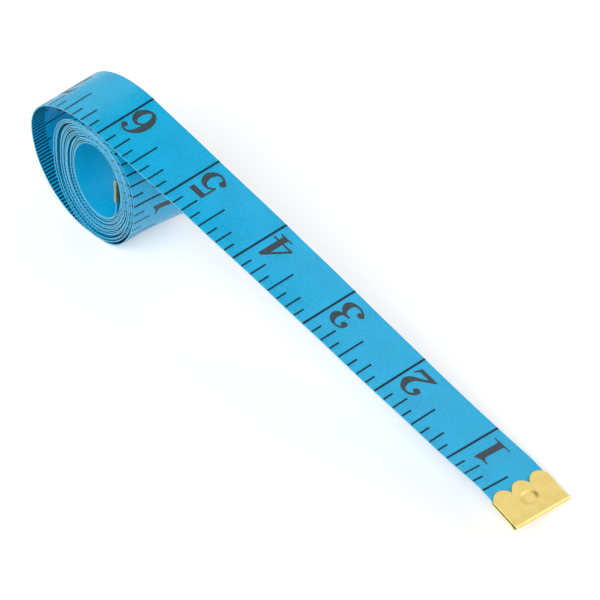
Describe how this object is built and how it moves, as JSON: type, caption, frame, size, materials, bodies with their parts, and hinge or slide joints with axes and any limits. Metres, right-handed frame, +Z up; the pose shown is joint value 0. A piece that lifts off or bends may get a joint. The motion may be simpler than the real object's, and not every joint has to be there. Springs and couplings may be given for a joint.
{
  "type": "cloth tape measure",
  "caption": "Soft tape measure wound in an oval coil, with a loose outer loop, a straight tail that flexes along its inch lines, and folded brass end clips.",
  "frame": {"origin": "on the floor, under the middle of the whole object's box", "axes": "+X along the tail towards the outer end clip, +Y across the tape to its far edge, +Z up from the floor"},
  "size_m": [0.1754, 0.0218, 0.0389],
  "materials": {
    "tape": "satin coated glass-fibre cloth",
    "brass": "bright pressed sheet"
  },
  "bodies": {
    "roll": {"coil": "tape", "outer_loop": "tape"},
    "tail_5": {"tail_inch_5": "tape"},
    "tail_4": {"tail_inch_4": "tape"},
    "tail_3": {"tail_inch_3": "tape"},
    "tail_2": {"tail_inch_2": "tape"},
    "tail_1": {"tail_inch_1": "tape", "end_clip": "brass"},
    "inner": {"inner_end": "tape", "inner_clip": "brass"}
  },
  "joints": [
    {"name": "tail_bend_5", "type": "hinge", "parent": "roll", "child": "tail_5", "pos_m": [-0.03589, 0.0007, 0.03181], "axis": [0.0104, -0.999, 0.0429], "range_deg": [-45, 45], "stiffness_Nm_per_rad": 0.012},
    {"name": "tail_bend_4", "type": "hinge", "parent": "tail_5", "child": "tail_4", "pos_m": [-0.01121, 0.0007, 0.02581], "axis": [0.0208, -0.9961, 0.0857], "range_deg": [-45, 45], "stiffness_Nm_per_rad": 0.012},
    {"name": "tail_bend_3", "type": "hinge", "parent": "tail_4", "child": "tail_3", "pos_m": [0.01347, 0.0007, 0.01981], "axis": [0.0312, -0.9912, 0.1283], "range_deg": [-45, 45], "stiffness_Nm_per_rad": 0.012},
    {"name": "tail_bend_2", "type": "hinge", "parent": "tail_3", "child": "tail_2", "pos_m": [0.03815, 0.0007, 0.01381], "axis": [0.0415, -0.9845, 0.1707], "range_deg": [-45, 45], "stiffness_Nm_per_rad": 0.012},
    {"name": "tail_bend_1", "type": "hinge", "parent": "tail_2", "child": "tail_1", "pos_m": [0.06288, 0.00062, 0.00802], "axis": [0.0145, -0.9764, 0.2156], "range_deg": [-45, 45], "stiffness_Nm_per_rad": 0.012},
    {"name": "inner_end_bend", "type": "hinge", "parent": "roll", "child": "inner", "pos_m": [-0.05451, 0.0007, 0.01369], "axis": [0, -1, 0], "range_deg": [0, 30], "stiffness_Nm_per_rad": 0.012}
  ]
}
